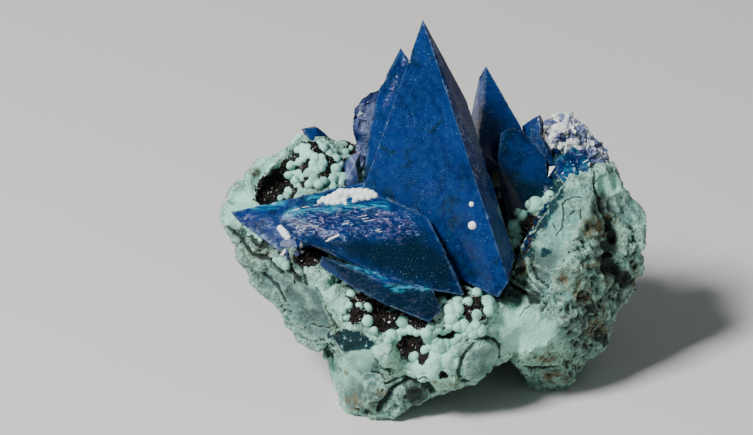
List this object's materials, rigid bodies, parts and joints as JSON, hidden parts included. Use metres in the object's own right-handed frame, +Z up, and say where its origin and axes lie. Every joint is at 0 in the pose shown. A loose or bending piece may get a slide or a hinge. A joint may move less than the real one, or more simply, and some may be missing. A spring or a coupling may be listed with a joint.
{
  "type": "liroconite mineral specimen",
  "caption": "Display mineral specimen: steep blue crystals grown on a broken piece of pale green rock with a crust of small white balls, resting on a flat broken face.",
  "frame": {"origin": "middle of the flat resting face under the rock", "axes": "+Z up, square to the resting face; +X along the specimen's longest side, to the right when it is seen from the front; -Y to the front, where the tallest crystal stands"},
  "size_m": [0.0536, 0.0337, 0.0486],
  "materials": {
    "rock": "rough, pale green with ochre stains and a white crust",
    "blue_crystal": "glassy deep blue crystal faces, finely dusted",
    "pale_crystal": "broken, glittering lavender crystal faces"
  },
  "bodies": {
    "root": {"matrix": "rock", "leading_crystals": "blue_crystal", "right_crystals": "blue_crystal", "rim_crystals": "pale_crystal", "rear_crystal": "pale_crystal", "lavender_crystal": "pale_crystal", "knob_crystal": "blue_crystal"}
  },
  "joints": []
}
